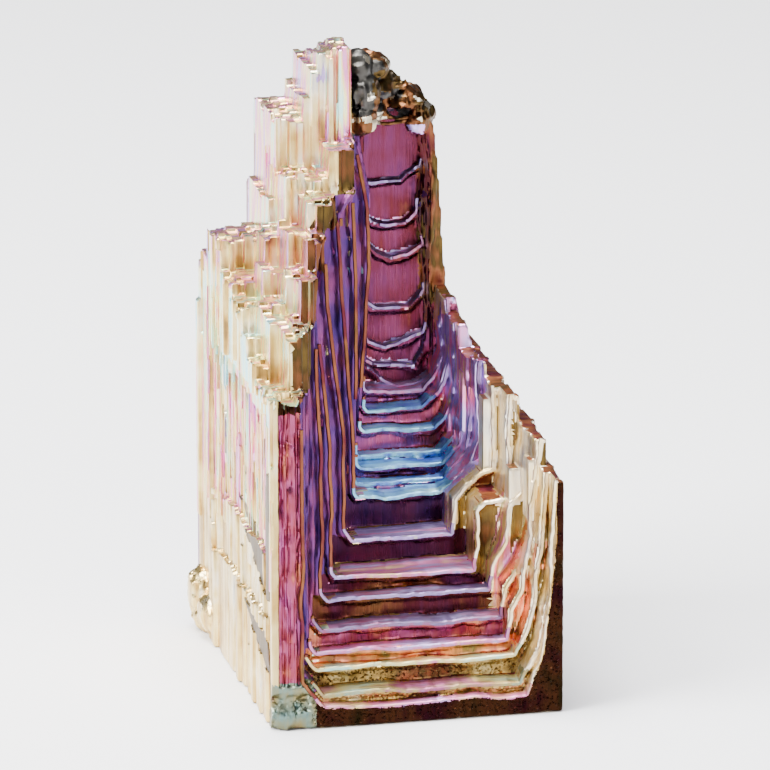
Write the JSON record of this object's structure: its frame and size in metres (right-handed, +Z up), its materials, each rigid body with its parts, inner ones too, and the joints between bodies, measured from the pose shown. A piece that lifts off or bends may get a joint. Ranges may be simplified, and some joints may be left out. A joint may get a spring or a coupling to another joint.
{
  "type": "bismuth crystal",
  "caption": "Tall stepped hopper crystal, one solid piece with a flat base, open at the front and top as a square pit of terraces between a high wall and a low one.",
  "frame": {"origin": "middle of the bounding box's footprint, on the flat base", "axes": "+Z up, along the crystal's height; -Y is the front, where the pit opens and its terraces step down; +X is to the right seen from the front, the side of the low wall"},
  "size_m": [0.0236, 0.0294, 0.048],
  "materials": {
    "bismuth": null
  },
  "bodies": {
    "root": {"bismuth_crystal": "bismuth"}
  },
  "joints": []
}
